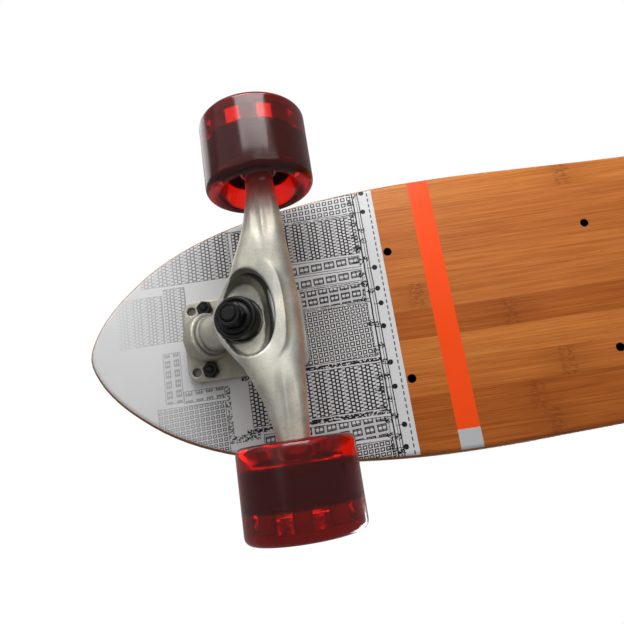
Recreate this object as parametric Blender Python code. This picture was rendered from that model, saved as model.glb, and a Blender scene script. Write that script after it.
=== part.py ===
"""Longboard skateboard: a flat bamboo deck with a pointed nose, two trucks and four wheels.

The board stands on its wheels. +X points to the nose, +Z is up and the origin is on the floor
under the middle of the board. Each truck is built in its own frame: origin at the middle of its
axle, +x outboard (towards the nearer end of the deck), +z up. "Depth" is the distance below the
deck's underside. All sizes below are in millimetres and are turned into metres by MM.
"""

import math

import bmesh
import bpy
from mathutils import Matrix, Vector

MM = 0.001
GAP = 0.3  # clearance between neighbouring solids

# Deck
DECK_LENGTH = 914.0
DECK_THICKNESS = 11.0
# Distance from the tip and half the width there, as far as the middle of the board
DECK_STATIONS = (
    (0.0, 0.0),
    (1.3, 7.0),
    (4.2, 13.8),
    (9.0, 22.0),
    (18.0, 33.0),
    (31.0, 44.9),
    (50.0, 58.6),
    (74.0, 70.6),
    (102.0, 80.0),
    (135.0, 87.2),
    (170.0, 92.0),
    (212.0, 95.2),
    (262.0, 96.0),
    (325.0, 94.2),
    (390.0, 92.2),
    (457.0, 91.8),
)
RAIL_ROUND = 4.6
GRIP_THICKNESS = 0.9
GRIP_INSET = 4.9
SMALL_HOLE_R = 2.6
SMALL_HOLES_FROM_NOSE = (211.0, 351.0)
SMALL_HOLES_HALF = 44.7

# Truck layout
AXLE_FROM_NOSE = 132.0
AXLE_DEPTH = 58.0
TYRE_R = 32.5
DECK_BOTTOM = TYRE_R + AXLE_DEPTH

# Baseplate
PLATE_THICKNESS = 6.0
PLATE_FROM, PLATE_TO = -15.0, 65.5
PLATE_HALF_WIDTH = 27.5
PLATE_CORNER_R = 8.0
BOLT_ROWS = (-4.0, 50.0)
SPARE_ROW = 59.5
BOLT_HALF_SPACING = 20.65
BOLT_R = 2.3
BOLT_HOLE_R = 2.8

# Pivot and kingpin
PIVOT = (49.0, 14.5)  # x and depth of the pivot's centre
RING = (22.2, 39.5)  # x and depth of the hanger ring's centre, on the steering axis
KINGPIN_FOOT_X = 14.9  # where the kingpin's axis meets the deck's underside
KINGPIN_LEAN = math.radians(10.6)
KINGPIN_R = 4.7
BOSS_R = 15.5
BOSS_MOUTH = 4.2  # from the pivot's centre, along the steering axis

# Stations along the kingpin, measured from the deck's underside
PEDESTAL_TOP = 22.0
RING_FROM, RING_TO = 36.3, 42.7
SEAT_CLEARANCE_R = 16.8
BUSHING_R = 12.6
WASHER_R = 13.2
WASHER_THICKNESS = 1.7
ROAD_WASHER_AT = 53.6
KINGPIN_NUT_AT = 55.6
KINGPIN_END = 67.5

# Hanger
HANGER_HALF = 85.0
ARM_R = 8.2
AXLE_R = 3.95
AXLE_HALF = 119.5
# y, x from, x to, depth from, depth to of the beam's section
BEAM = (
    (0.0, -13.0, 25.0, 39.0, 63.4),
    (10.0, -13.0, 25.0, 39.0, 63.6),
    (19.0, -12.6, 25.0, 40.0, 64.2),
    (28.0, -12.0, 23.4, 41.6, 65.2),
    (40.0, -11.0, 18.8, 44.4, 66.4),
    (55.0, -10.1, 13.2, 47.4, 66.9),
    (70.0, -8.9, 10.0, 49.4, 66.4),
    (HANGER_HALF, -ARM_R, ARM_R, AXLE_DEPTH - ARM_R, AXLE_DEPTH + ARM_R),
)
BEAM_POINTS = 20

# Wheel
WHEEL_AT = 98.0
TYRE_SEGMENTS = 28
TREAD_R = TYRE_R / math.cos(math.pi / TYRE_SEGMENTS)  # at the corners, so that its flats are at TYRE_R
TYRE_HALF = 24.2
TYRE_ROUND = 5.5
POCKET_R = 24.0
CORE_R = 17.2
CORE_HALF = 12.0
BEARING_R = 10.9
BEARING_WIDTH = 7.0
BEARING_BORE_R = 4.12
AXLE_NUT_R = 7.2

STEER_DIRECTION = Vector((PIVOT[0] - RING[0], 0.0, RING[1] - PIVOT[1])).normalized()


def clear_scene():
    for obj in list(bpy.data.objects):
        bpy.data.objects.remove(obj, do_unlink=True)


def make_material(name, colour, roughness, metallic=0.0, alpha=1.0):
    material = bpy.data.materials.new(name)
    material.use_nodes = True
    shader = material.node_tree.nodes["Principled BSDF"]
    shader.inputs["Base Color"].default_value = (*colour, 1.0)
    shader.inputs["Roughness"].default_value = roughness
    shader.inputs["Metallic"].default_value = metallic
    shader.inputs["Alpha"].default_value = alpha
    return material


def make_materials():
    return {
        "bamboo": make_material("bamboo", (0.58, 0.30, 0.12), 0.4),
        "grip": make_material("grip", (0.02, 0.02, 0.02), 0.95),
        "cast": make_material("cast", (0.55, 0.53, 0.48), 0.35, 1.0),
        "plate": make_material("plate", (0.52, 0.50, 0.46), 0.45, 1.0),
        "cup": make_material("cup", (0.75, 0.75, 0.73), 0.5),
        "black_steel": make_material("black_steel", (0.03, 0.03, 0.03), 0.4, 0.6),
        "bushing": make_material("bushing", (0.02, 0.02, 0.02), 0.5),
        "steel": make_material("steel", (0.6, 0.6, 0.6), 0.25, 1.0),
        "urethane": make_material("urethane", (0.5, 0.01, 0.01), 0.15, 0.0, 0.7),
        "core": make_material("core", (0.02, 0.015, 0.015), 0.5),
    }


def depth(value):
    """Height, in the truck's frame, of a place this far below the deck's underside."""
    return AXLE_DEPTH - value


def add_object(name, mesh_source, material, parent=None, location=(0, 0, 0), smooth=True):
    """An object from a bmesh in millimetres, with its faces turned outwards."""
    bmesh.ops.recalc_face_normals(mesh_source, faces=mesh_source.faces)
    mesh_source.transform(Matrix.Scale(MM, 4))
    mesh = bpy.data.meshes.new(name)
    mesh_source.to_mesh(mesh)
    mesh_source.free()
    for polygon in mesh.polygons:
        polygon.use_smooth = smooth
    if smooth:
        mesh.set_sharp_from_angle(angle=math.radians(40))
    obj = bpy.data.objects.new(name, mesh)
    obj.location = Vector(location) * MM
    obj.parent = parent
    if material is not None:
        mesh.materials.append(material)
    bpy.context.scene.collection.objects.link(obj)
    return obj


def add_empty(name, parent=None, location=(0, 0, 0), turn=0.0):
    obj = bpy.data.objects.new(name, None)
    obj.empty_display_size = 0.02
    obj.location = Vector(location) * MM
    obj.rotation_euler = (0.0, 0.0, turn)
    obj.parent = parent
    bpy.context.scene.collection.objects.link(obj)
    return obj


def bridge(mesh, first, second):
    """Faces between two rings; a ring of one vertex makes a fan."""
    count = max(len(first), len(second))
    for i in range(count):
        a, b = first[i % len(first)], first[(i + 1) % len(first)]
        c, d = second[(i + 1) % len(second)], second[i % len(second)]
        corners = list(dict.fromkeys((a, b, c, d)))
        if len(corners) > 2:
            mesh.faces.new(corners)


def revolved(profile, segments, closed=False, turn=0.0):
    """A solid from a profile of (radius, height) about +Z. A closed profile makes a ring."""
    mesh = bmesh.new()
    rings = []
    for radius, height in profile:
        if radius < 1e-6:
            rings.append([mesh.verts.new((0.0, 0.0, height))])
            continue
        ring = []
        for i in range(segments):
            angle = turn + 2 * math.pi * i / segments
            ring.append(mesh.verts.new((radius * math.cos(angle), radius * math.sin(angle), height)))
        rings.append(ring)
    pairs = list(zip(rings, rings[1:]))
    if closed:
        pairs.append((rings[-1], rings[0]))
    for first, second in pairs:
        bridge(mesh, first, second)
    return mesh


def tube(inner, outer, low, high, segments, chamfer=0.0):
    """A ring of rectangular section with its outer edges chamfered."""
    profile = [(inner, low), (outer - chamfer, low), (outer, low + chamfer)]
    profile += [(outer, high - chamfer), (outer - chamfer, high), (inner, high)]
    if chamfer == 0.0:
        profile = [(inner, low), (outer, low), (outer, high), (inner, high)]
    return revolved(profile, segments, closed=True)


def rod(radius, low, high, segments, chamfer=0.0):
    if chamfer == 0.0:
        return revolved([(0, low), (radius, low), (radius, high), (0, high)], segments)
    profile = [(0, low), (radius - chamfer, low), (radius, low + chamfer)]
    profile += [(radius, high - chamfer), (radius - chamfer, high), (0, high)]
    return revolved(profile, segments)


def hex_nut(corner_r, bore_r, low, high, collar_r):
    """A hexagonal nut with a round collar on its upper end and a bore through it."""
    mesh = bmesh.new()
    sides = 12
    flat_top = high - 0.25 * (high - low)

    def ring(radius_of, height):
        verts = []
        for i in range(sides):
            angle = math.pi * i / 6
            radius = radius_of(i)
            verts.append(mesh.verts.new((radius * math.cos(angle), radius * math.sin(angle), height)))
        return verts

    def hexagon(i):
        return corner_r if i % 2 == 0 else corner_r * math.cos(math.pi / 6)

    rings = [
        ring(lambda i: bore_r, low),
        ring(hexagon, low),
        ring(hexagon, flat_top),
        ring(lambda i: collar_r, flat_top + 0.4),
        ring(lambda i: collar_r, high - 0.6),
        ring(lambda i: collar_r - 0.8, high),
        ring(lambda i: bore_r, high),
    ]
    for first, second in zip(rings, rings[1:] + rings[:1]):
        bridge(mesh, first, second)
    return mesh


def extruded(outline, low, high):
    """A prism from a list of (x, y)."""
    mesh = bmesh.new()
    bottom = [mesh.verts.new((x, y, low)) for x, y in outline]
    top = [mesh.verts.new((x, y, high)) for x, y in outline]
    bridge(mesh, bottom, top)
    mesh.faces.new(bottom)
    mesh.faces.new(top)
    return mesh


def merge_into(mesh, other, matrix=None):
    """Adds the second bmesh to the first and frees it."""
    if matrix is not None:
        other.transform(matrix)
    scratch = bpy.data.meshes.new("scratch")
    other.to_mesh(scratch)
    mesh.from_mesh(scratch)
    other.free()
    bpy.data.meshes.remove(scratch)


def combine(obj, other, operation):
    """Joins or cuts an object with a hidden helper that shares its parent."""
    other.hide_render = True
    other.display_type = "WIRE"
    modifier = obj.modifiers.new(other.name, "BOOLEAN")
    modifier.operation = operation
    modifier.solver = "EXACT"
    modifier.object = other


def along(direction, origin):
    """A matrix that takes +Z to a direction and the origin to a place."""
    turn = Vector((0, 0, 1)).rotation_difference(Vector(direction)).to_matrix().to_4x4()
    return Matrix.Translation(Vector(origin)) @ turn


def kingpin_frame():
    """Takes +Z down the kingpin, away from the deck, from where it meets the underside."""
    direction = (math.sin(KINGPIN_LEAN), 0.0, -math.cos(KINGPIN_LEAN))
    return along(direction, (KINGPIN_FOOT_X, 0.0, depth(0.0)))


def pivot_frame():
    """Takes +Z along the steering axis, from the pivot's centre down to the ring."""
    return along(-STEER_DIRECTION, (PIVOT[0], 0.0, depth(PIVOT[1])))


def deck_outline(inset):
    """The deck's outline, moved inwards, as (x, y) going round from the nose."""
    half = DECK_LENGTH / 2
    side = [(half - from_tip, width) for from_tip, width in DECK_STATIONS]
    side += [(-x, y) for x, y in reversed(side[:-1])]
    points = side + [(x, -y) for x, y in reversed(side[1:-1])]
    moved = []
    for i, (x, y) in enumerate(points):
        before, after = points[i - 1], points[(i + 1) % len(points)]
        inwards = Vector((before[1] - after[1], after[0] - before[0])).normalized()
        moved.append((x + inwards.x * inset, y + inwards.y * inset))
    return moved


def layered(layers):
    """A solid from outlines at rising heights."""
    mesh = bmesh.new()
    rings = [[mesh.verts.new((x, y, z)) for x, y in outline] for outline, z in layers]
    for first, second in zip(rings, rings[1:]):
        bridge(mesh, first, second)
    mesh.faces.new(rings[0])
    mesh.faces.new(rings[-1])
    return mesh


def bolt_places(rows):
    """World x and y of each hole in the given rows, for both trucks."""
    axle_x = DECK_LENGTH / 2 - AXLE_FROM_NOSE
    return [
        (end * (axle_x + row), side * BOLT_HALF_SPACING)
        for end in (1, -1)
        for row in rows
        for side in (1, -1)
    ]


def build_deck(materials):
    bottom, top = DECK_BOTTOM, DECK_BOTTOM + DECK_THICKNESS
    half_rail = []
    for angle in (0, 45, 90):
        part = math.radians(angle)
        half_rail.append((RAIL_ROUND * (1 - math.sin(part)), RAIL_ROUND * (1 - math.cos(part))))
    layers = [(deck_outline(inset), bottom + rise) for inset, rise in half_rail]
    layers += [(deck_outline(inset), top - rise) for inset, rise in reversed(half_rail)]
    deck = add_object("deck", layered(layers), materials["bamboo"])
    holes = bmesh.new()
    for x, y in bolt_places(BOLT_ROWS):
        profile = [(0, bottom - 2), (BOLT_HOLE_R, bottom - 2), (BOLT_HOLE_R, top - 2.6)]
        profile += [(5.3, top), (5.3, top + 2), (0, top + 2)]
        merge_into(holes, revolved(profile, 12), Matrix.Translation((x, y, 0)))
    for along_board in SMALL_HOLES_FROM_NOSE:
        for side in (1, -1):
            place = (DECK_LENGTH / 2 - along_board, side * SMALL_HOLES_HALF, 0)
            merge_into(holes, rod(SMALL_HOLE_R, bottom - 2, top + 2, 12), Matrix.Translation(place))
    combine(deck, add_object("deck_hole_cutter", holes, None), "DIFFERENCE")
    return deck


def build_grip(materials):
    low = DECK_BOTTOM + DECK_THICKNESS + GAP
    high = low + GRIP_THICKNESS
    outline = deck_outline(GRIP_INSET)
    grip = add_object("grip_tape", extruded(outline, low, high), materials["grip"], smooth=False)
    holes = bmesh.new()
    for x, y in bolt_places(BOLT_ROWS):
        merge_into(holes, rod(5.3, low - 1, high + 1, 12), Matrix.Translation((x, y, 0)))
    combine(grip, add_object("grip_hole_cutter", holes, None), "DIFFERENCE")


def build_bolts(materials):
    top = DECK_BOTTOM + DECK_THICKNESS + GAP + GRIP_THICKNESS - 0.1
    plate_low = DECK_BOTTOM - GAP - PLATE_THICKNESS
    nut_low = plate_low - GAP - 5.6
    names = [
        f"{end}_{kind}_{side}"
        for end in ("front", "rear")
        for kind in ("inner", "outer")
        for side in ("left", "right")
    ]
    for name, (x, y) in zip(names, bolt_places(BOLT_ROWS)):
        end = nut_low - 1.6
        profile = [(0, end), (BOLT_R - 0.4, end), (BOLT_R, end + 0.5), (BOLT_R, top - 3.2)]
        profile += [(4.8, top - 0.5), (4.8, top), (0, top)]
        add_object(f"{name}_bolt", revolved(profile, 12), materials["black_steel"], None, (x, y, 0), False)
        nut = hex_nut(5.5, BOLT_R + 0.35, 0.0, 5.6, 4.2)
        nut.transform(Matrix.Rotation(math.pi, 4, "X"))
        place = (x, y, plate_low - GAP)
        add_object(f"{name}_nut", nut, materials["black_steel"], None, place, False)


def rounded_rectangle(x_from, x_to, half_y, radius, steps=5):
    points = []
    corners = ((x_to, half_y, 0), (x_from, half_y, 90), (x_from, -half_y, 180), (x_to, -half_y, 270))
    for x, y, start in corners:
        centre_x = x - radius if x == x_to else x + radius
        centre_y = math.copysign(half_y - radius, y)
        for i in range(steps):
            angle = math.radians(start + 90 * i / (steps - 1))
            points.append((centre_x + radius * math.cos(angle), centre_y + radius * math.sin(angle)))
    return points


def baseplate_cutters(name, truck):
    """The boss's mouth and socket, the bolt holes and the kingpin's hole, in one helper."""
    cutters = bmesh.new()
    socket = [(0, -9.5), (6.0, -8.8), (9.6, -6.5), (11.6, 0.0), (11.6, 14), (0, 14)]
    merge_into(cutters, revolved(socket, 20), pivot_frame())
    rows = (*BOLT_ROWS, SPARE_ROW)
    for x in rows:
        for side in (1, -1):
            place = Matrix.Translation((x, side * BOLT_HALF_SPACING, depth(8.0)))
            merge_into(cutters, rod(BOLT_HOLE_R, 0, 10, 12), place)
    hole_r = KINGPIN_R + 2 * GAP
    pocket = [(0, -6.0), (9.0, -6.0), (9.0, 8.5), (hole_r, 8.5), (hole_r, 26.0), (0, 26.0)]
    merge_into(cutters, revolved(pocket, 18), kingpin_frame())
    return add_object(f"{name}_cutters", cutters, None, truck)


def build_baseplate(name, truck, materials):
    bottom, top = depth(PLATE_THICKNESS + GAP), depth(GAP)
    shape = [
        (rounded_rectangle(PLATE_FROM + 1, PLATE_TO - 1, PLATE_HALF_WIDTH - 1, PLATE_CORNER_R - 1), bottom),
        (rounded_rectangle(PLATE_FROM, PLATE_TO, PLATE_HALF_WIDTH, PLATE_CORNER_R), bottom + 1.2),
        (rounded_rectangle(PLATE_FROM, PLATE_TO, PLATE_HALF_WIDTH, PLATE_CORNER_R), top),
    ]
    plate = add_object(f"{name}_baseplate", layered(shape), materials["plate"], truck)
    pedestal = [(0, 4.2), (17.5, 4.2), (17.5, 6.5), (14.6, 9.0), (13.8, PEDESTAL_TOP), (0, PEDESTAL_TOP)]
    pedestal_mesh = revolved(pedestal, 24)
    pedestal_mesh.transform(kingpin_frame())
    combine(plate, add_object(f"{name}_pedestal", pedestal_mesh, None, truck), "UNION")
    combine(plate, add_object(f"{name}_boss", boss_shape(), None, truck), "UNION")
    combine(plate, baseplate_cutters(name, truck), "DIFFERENCE")
    return plate


def boss_shape():
    """A dome round the pivot's centre, on a short skirt that runs into the plate."""
    centre = depth(PIVOT[1])
    profile = [(0, centre - BOSS_R)]
    for i in range(1, 7):
        angle = math.radians(15 * i)
        profile.append((BOSS_R * math.sin(angle), centre - BOSS_R * math.cos(angle)))
    profile += [(BOSS_R + 0.5, depth(3.0)), (0, depth(3.0))]
    boss = revolved(profile, 24)
    boss.transform(Matrix.Translation((PIVOT[0], 0, 0)))
    frame = pivot_frame()
    everything = list(boss.verts) + list(boss.edges) + list(boss.faces)
    mouth = frame @ Vector((0, 0, BOSS_MOUTH))
    normal = frame.to_3x3() @ Vector((0, 0, 1))
    bmesh.ops.bisect_plane(boss, geom=everything, plane_co=mouth, plane_no=normal, clear_outer=True)
    bmesh.ops.holes_fill(boss, edges=[edge for edge in boss.edges if edge.is_boundary])
    return boss


def build_pivot_cup(name, truck, materials):
    """A plastic liner in the boss's socket, with a flange at its mouth."""
    inside = [(0, -8.6), (5.2, -7.6), (7.6, -4.6), (8.6, 0.0), (8.8, 6.6)]
    outside = [(13.0, 6.6), (13.0, 4.6), (11.2, 4.5), (11.2, 0.0), (9.3, -6.2), (5.8, -8.5), (0, -9.2)]
    cup = revolved(inside + outside, 20)
    cup.transform(pivot_frame())
    add_object(f"{name}_pivot_cup", cup, materials["cup"], truck)


def build_kingpin_stack(name, truck, materials):
    frame = kingpin_frame()

    def place(part, mesh, material, smooth=True):
        mesh.transform(frame)
        add_object(f"{name}_{part}", mesh, materials[material], truck, (0, 0, 0), smooth)

    head = [(0, 2.4), (8.2, 2.4), (8.2, 8.1), (KINGPIN_R, 8.1)]
    shank = [(KINGPIN_R, KINGPIN_END - 1.0), (KINGPIN_R - 1.0, KINGPIN_END), (0, KINGPIN_END)]
    place("kingpin", revolved(head + shank, 18), "black_steel")
    bore = KINGPIN_R + GAP
    low = PEDESTAL_TOP + GAP
    place("board_washer", tube(bore, WASHER_R, low, low + WASHER_THICKNESS, 18, 0.5), "black_steel")
    low += WASHER_THICKNESS + GAP
    high = RING_FROM - GAP
    barrel = [(bore, low), (BUSHING_R - 1.2, low), (BUSHING_R, low + 3), (BUSHING_R, high - 3)]
    barrel += [(BUSHING_R - 1.2, high), (bore, high)]
    place("board_bushing", revolved(barrel, 18, closed=True), "bushing")
    low, high = RING_TO + GAP, ROAD_WASHER_AT - GAP
    cone = [(bore, low), (BUSHING_R, low), (BUSHING_R, low + 4), (BUSHING_R - 1.6, high), (bore, high)]
    place("road_bushing", revolved(cone, 18, closed=True), "bushing")
    low, high = ROAD_WASHER_AT, ROAD_WASHER_AT + WASHER_THICKNESS
    cup = [(bore, low), (11.5, low), (11.9, low - 0.9), (WASHER_R - 0.4, low - 0.9), (WASHER_R, low - 0.4)]
    cup += [(12.4, high), (bore, high)]
    place("road_washer", revolved(cup, 18, closed=True), "black_steel")
    nut = hex_nut(8.2, bore, KINGPIN_NUT_AT, KINGPIN_NUT_AT + 10.4, 6.8)
    place("kingpin_nut", nut, "black_steel", False)


def beam_section(x_from, x_to, deep_from, deep_to):
    """Points of a rounded section, as (x, z)."""
    centre_x, centre_z = (x_from + x_to) / 2, depth((deep_from + deep_to) / 2)
    half_x, half_z = (x_to - x_from) / 2, (deep_to - deep_from) / 2
    points = []
    for i in range(BEAM_POINTS):
        angle = 2 * math.pi * i / BEAM_POINTS
        c, s = math.cos(angle), math.sin(angle)
        x = centre_x + half_x * math.copysign(abs(c) ** 0.82, c)
        z = centre_z + half_z * math.copysign(abs(s) ** 0.82, s)
        points.append((x, z))
    return points


def beam_shape():
    mesh = bmesh.new()
    stations = [(-row[0], *row[1:]) for row in reversed(BEAM[1:])] + list(BEAM)
    rings = []
    for y, *section in stations:
        rings.append([mesh.verts.new((x, y, z)) for x, z in beam_section(*section)])
    for first, second in zip(rings, rings[1:]):
        bridge(mesh, first, second)
    mesh.faces.new(rings[0])
    mesh.faces.new(rings[-1])
    return mesh


def mirrored(points):
    """A closed outline from its +y half, which starts and ends on y = 0."""
    return points + [(x, -y) for x, y in reversed(points[1:-1])]


def rim_depth(x):
    """The rim of the well slopes: it is deepest over the axle and rises towards the pivot."""
    return 63.2 - 0.5 * x


def well_block_shape():
    """The raised rim of the bushing well."""
    half = [(38.0, 0), (37.3, 7.5), (34.6, 13.8), (30.6, 19.4), (25.6, 25.0)]
    half += [(19, 28.4), (11, 29.0), (3, 26), (-2, 18), (-4, 0)]
    low_half = [(x * 0.97, y * 0.97) for x, y in half]
    outline, inner = mirrored(half), mirrored(low_half)
    mesh = layered([(inner, 0.0), (outline, 1.2), (outline, 9.0), (inner, 10.5)])
    for vert in mesh.verts:
        share = (vert.co.x + 4.0) / 42.0
        rim, floor = depth(rim_depth(vert.co.x)), depth(52.0 - 12.0 * share)
        vert.co.z = rim + (floor - rim) * vert.co.z / 10.5
    return mesh


def ring_shape():
    """The seat between the two bushings, square to the kingpin."""
    ring = rod(SEAT_CLEARANCE_R - 0.4, RING_FROM - 1.5, RING_TO + 4.6, 28)
    ring.transform(kingpin_frame())
    return ring


def nose_shape():
    """The pivot nose: a ball end and a thick neck on the steering axis."""
    profile = [(0, -8.0), (4.6, -7.0), (7.0, -4.2), (8.0, 0.0), (8.2, 7.2), (10.6, 7.6), (11.2, 9.0)]
    profile += [(11.4, 20.0), (11.4, 27.0), (0, 27.0)]
    nose = revolved(profile, 24)
    nose.transform(pivot_frame())
    return nose


def well_cutter():
    """The egg-shaped well, its sides leaning outwards to the rim."""
    half = [(35.6, 0), (34.9, 7), (32.0, 12.6), (28.4, 17.4), (23.6, 21.8), (18.0, 23.8)]
    half += [(12.4, 22.8), (8.2, 18.8), (5.6, 13), (4.2, 7), (3.6, 0)]
    rim = [(x + 0.7 if x > 20 else x - 2.6, y * 1.07) for x, y in half]
    outline = mirrored(half)
    levels = [(mirrored(rim), 72.0), (mirrored(rim), 60.0), (outline, 55.0), (outline, 47.0)]
    return layered([(shape, depth(at)) for shape, at in levels])


def hanger_cutters():
    frame = kingpin_frame()
    cutters = [well_cutter()]
    seat = rod(BUSHING_R + 1.0, RING_TO, RING_TO + 20, 24)
    seat.transform(frame)
    clearance = rod(SEAT_CLEARANCE_R, RING_FROM - 20, RING_FROM, 24)
    clearance.transform(frame)
    hole = rod(7.4, RING_FROM - 5, RING_TO + 5, 16)
    hole.transform(frame)
    bore = rod(AXLE_R + 0.35, -HANGER_HALF - 5, HANGER_HALF + 5, 16)
    bore.transform(Matrix.Rotation(math.pi / 2, 4, "X"))
    return cutters + [seat, clearance, hole, bore]


def build_hanger(name, truck, materials):
    """The cast hanger. Its origin is the pivot's centre, on the steering axis."""
    origin = (PIVOT[0], 0.0, depth(PIVOT[1]))
    shift = Matrix.Translation(-Vector(origin))

    def place(part, mesh, material=None):
        mesh.transform(shift)
        return add_object(f"{name}_{part}", mesh, material, truck, origin)

    hanger = place("hanger", beam_shape(), materials["cast"])
    for i, mesh in enumerate((well_block_shape(), ring_shape(), nose_shape())):
        combine(hanger, place(f"hanger_add_{i}", mesh), "UNION")
    for i, mesh in enumerate(hanger_cutters()):
        combine(hanger, place(f"hanger_cut_{i}", mesh), "DIFFERENCE")


def build_axle(name, truck, materials):
    pin = rod(AXLE_R, -AXLE_HALF, AXLE_HALF, 16, 0.8)
    pin.transform(Matrix.Rotation(math.pi / 2, 4, "X"))
    add_object(f"{name}_axle", pin, materials["steel"], truck)


def tyre_profile():
    """Half of the tyre's section as (radius, height), from its bore round to its outside."""
    half = TYRE_HALF
    points = [(CORE_R + 0.35, CORE_HALF - 0.6), (15.5, CORE_HALF + 0.3)]
    points += [(20.6, half - 5.0), (POCKET_R, half - 1.2), (TREAD_R - 5.0, half)]
    for angle in (45, 90):
        part = math.radians(angle)
        radius = TREAD_R - TYRE_ROUND * (1 - math.sin(part))
        points.append((radius, half - TYRE_ROUND * (1 - math.cos(part))))
    return points


def build_wheel(name, truck, materials, side):
    """A wheel about the axle. Its parent empty is at its centre, with +Z pointing outwards."""
    hub = add_empty(f"{name}_wheel", truck, (0.0, side * WHEEL_AT, 0.0))
    outwards = Matrix.Rotation(-side * math.pi / 2, 4, "X")

    def place(part, mesh, material, smooth=True):
        mesh.transform(outwards)
        add_object(f"{name}_{part}", mesh, materials[material], hub, (0, 0, 0), smooth)

    half = tyre_profile()
    profile = half + [(r, -z) for r, z in reversed(half)]
    turn = math.pi / TYRE_SEGMENTS
    place("tyre", revolved(profile, TYRE_SEGMENTS, closed=True, turn=turn), "urethane")
    seat = BEARING_R + 0.35
    wall = CORE_HALF - BEARING_WIDTH - 0.2
    section = [(seat, CORE_HALF), (14.9, CORE_HALF), (CORE_R, CORE_HALF - 1.2)]
    mirrored_half = [(r, -z) for r, z in reversed(section)]
    inside = [(seat, -wall), (8.8, -wall), (8.8, wall), (seat, wall)]
    place("core", revolved(section + mirrored_half + inside, 20, closed=True), "core")
    for part, low in (("outer_bearing", CORE_HALF - BEARING_WIDTH), ("inner_bearing", -CORE_HALF)):
        bearing = tube(BEARING_BORE_R, BEARING_R, low, low + BEARING_WIDTH, 16)
        place(part, bearing, "steel", False)
    nut = hex_nut(AXLE_NUT_R, BEARING_BORE_R, 0.0, 6.2, 6.0)
    nut.transform(Matrix.Translation((0, 0, CORE_HALF + 1.2)))
    nut.transform(outwards)
    add_object(f"{name}_axle_nut", nut, materials["steel"], hub, (0, 0, 0), False)


def build_truck(name, end, materials):
    """A truck. The rear one is the front one turned half round."""
    place = (end * (DECK_LENGTH / 2 - AXLE_FROM_NOSE), 0.0, TYRE_R)
    truck = add_empty(f"{name}_truck", None, place, 0.0 if end > 0 else math.pi)
    build_baseplate(name, truck, materials)
    build_pivot_cup(name, truck, materials)
    build_kingpin_stack(name, truck, materials)
    build_hanger(name, truck, materials)
    build_axle(name, truck, materials)
    for side in (1, -1):
        world_side = "left" if side * end > 0 else "right"
        build_wheel(f"{name}_{world_side}", truck, materials, side)


def main():
    clear_scene()
    materials = make_materials()
    build_deck(materials)
    build_grip(materials)
    build_bolts(materials)
    build_truck("front", 1, materials)
    build_truck("rear", -1, materials)


main()
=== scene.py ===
"""The looks of a longboard skateboard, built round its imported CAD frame.

Lengths in the shape code are millimetres and become metres through MM. A truck's pieces are made once,
in the truck's own frame: origin at the axle's middle, +x outboard, +z up. "Depth" is the distance below
the deck's underside, and "along the kingpin" starts where its axis meets the underside.
"""

import math

import bmesh
import bpy
import numpy as np
from mathutils import Euler, Matrix, Vector


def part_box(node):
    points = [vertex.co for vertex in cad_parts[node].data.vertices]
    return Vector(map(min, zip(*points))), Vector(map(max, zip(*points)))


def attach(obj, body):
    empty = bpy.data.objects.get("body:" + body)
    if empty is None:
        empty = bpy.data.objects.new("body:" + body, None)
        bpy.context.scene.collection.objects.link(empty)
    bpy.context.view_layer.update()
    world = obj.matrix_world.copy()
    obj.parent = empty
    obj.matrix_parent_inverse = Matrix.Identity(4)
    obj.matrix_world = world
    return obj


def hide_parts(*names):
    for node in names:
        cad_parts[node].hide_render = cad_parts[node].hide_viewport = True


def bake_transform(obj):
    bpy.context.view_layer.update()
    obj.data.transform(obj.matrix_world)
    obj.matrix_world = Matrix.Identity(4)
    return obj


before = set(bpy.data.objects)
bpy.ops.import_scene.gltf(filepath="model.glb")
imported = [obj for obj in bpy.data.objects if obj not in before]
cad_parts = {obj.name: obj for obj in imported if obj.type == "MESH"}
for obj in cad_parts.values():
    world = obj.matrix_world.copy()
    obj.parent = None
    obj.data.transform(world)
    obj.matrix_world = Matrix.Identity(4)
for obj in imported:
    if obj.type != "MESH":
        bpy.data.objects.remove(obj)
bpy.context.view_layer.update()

MM = 0.001
SHARP = 35.0  # faces that turn by more than this many degrees meet in an edge
ENDS = ("front", "rear")

# Places read from the frame
DECK_LOW, DECK_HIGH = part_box("deck")
HALF_LENGTH = DECK_HIGH.x / MM
BOTTOM, TOP = DECK_LOW.z / MM, DECK_HIGH.z / MM
AXLE_LOW, AXLE_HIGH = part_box("front_axle")
AXLE_DEPTH = BOTTOM - (AXLE_LOW.z + AXLE_HIGH.z) / 2 / MM
AXLE_HALF = AXLE_HIGH.y / MM

# Deck: distance from the tip and half the width there
STATIONS = (0, 1.3, 4.2, 9, 18, 31, 50, 74, 102, 135, 170, 212, 262, 325, 390, 457)
HALF_WIDTHS = (0, 7, 13.8, 22, 33, 44.9, 58.6, 70.6, 80, 87.2, 92, 95.2, 96, 94.2, 92.2, 91.8)
RAIL_ROUND = 4.6
GRIP_INSET = 4.9
HOLES_FROM_NOSE = (211.0, 351.0)
HOLES_HALF = 44.7
HOLE_R = 2.6
BOLT_HOLE_R = 2.8
HEAD_HOLE_R = 5.3
HEAD_DEPTH = 2.6
PLY = 2.2

# Print on the underside: distances from the nose, and where across the deck the stripe and the grey block start
PANEL_END = 207.3
DASH_LINE = 204.0
STRIPE = (233.6, 248.5)
STRIPE_FROM, BLOCK_FROM = -81.5, -95.0

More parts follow.
